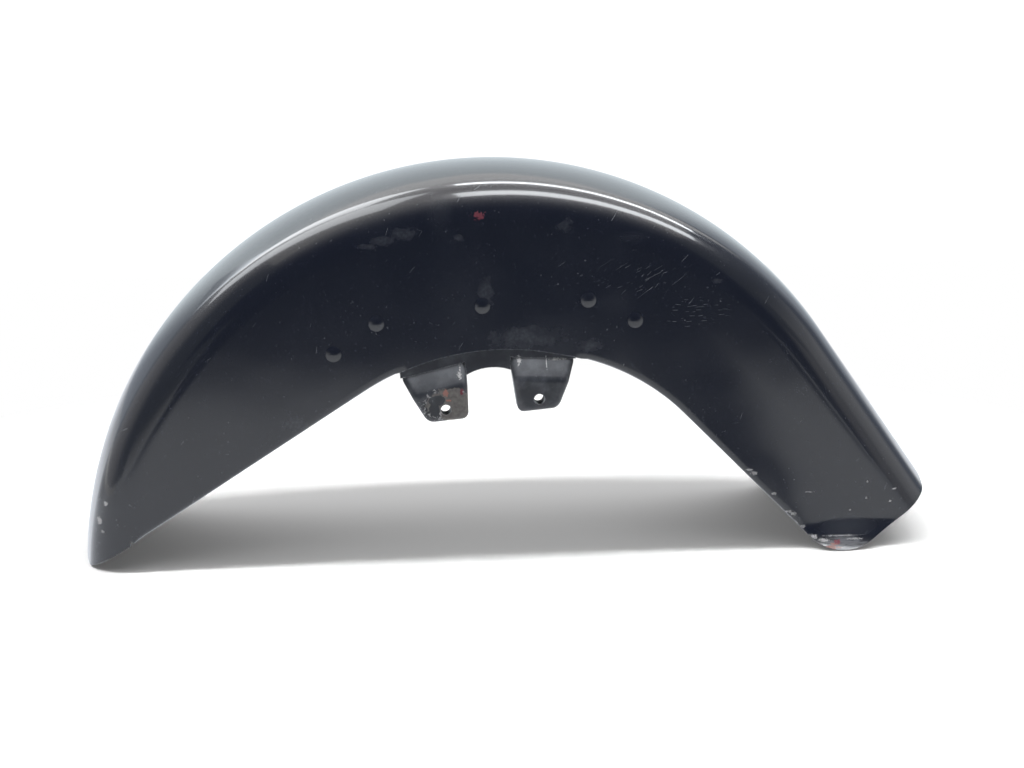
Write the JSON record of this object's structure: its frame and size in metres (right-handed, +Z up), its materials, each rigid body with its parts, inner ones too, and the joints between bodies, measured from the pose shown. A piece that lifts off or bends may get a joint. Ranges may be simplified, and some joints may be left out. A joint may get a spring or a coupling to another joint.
{
  "type": "motorcycle front mudguard",
  "caption": "Deep pressed-steel front mudguard with a rounded crown, flat side valances, flared tail lips and riveted inner fork brackets with bolt lugs.",
  "frame": {"origin": "on the floor the mudguard stands on, under the middle of its length and width", "axes": "+X from nose to tail, the longest extent; +Y from the machine's left side to its right side; +Z up"},
  "size_m": [0.769, 0.1994, 0.3442],
  "materials": {
    "skin_paint": "gloss black paint over an earlier red coat, scratched and chipped",
    "bracket_paint": "black paint worn to grey on the lugs",
    "collar_steel": "dull bare steel",
    "rivet_paint": "gloss black paint"
  },
  "bodies": {
    "root": {"fender_skin": "skin_paint", "left_fork_bracket": "bracket_paint", "right_fork_bracket": "bracket_paint", "left_mount_collars": "collar_steel", "right_mount_collars": "collar_steel", "left_rivets": "rivet_paint", "right_rivets": "rivet_paint"}
  },
  "joints": []
}
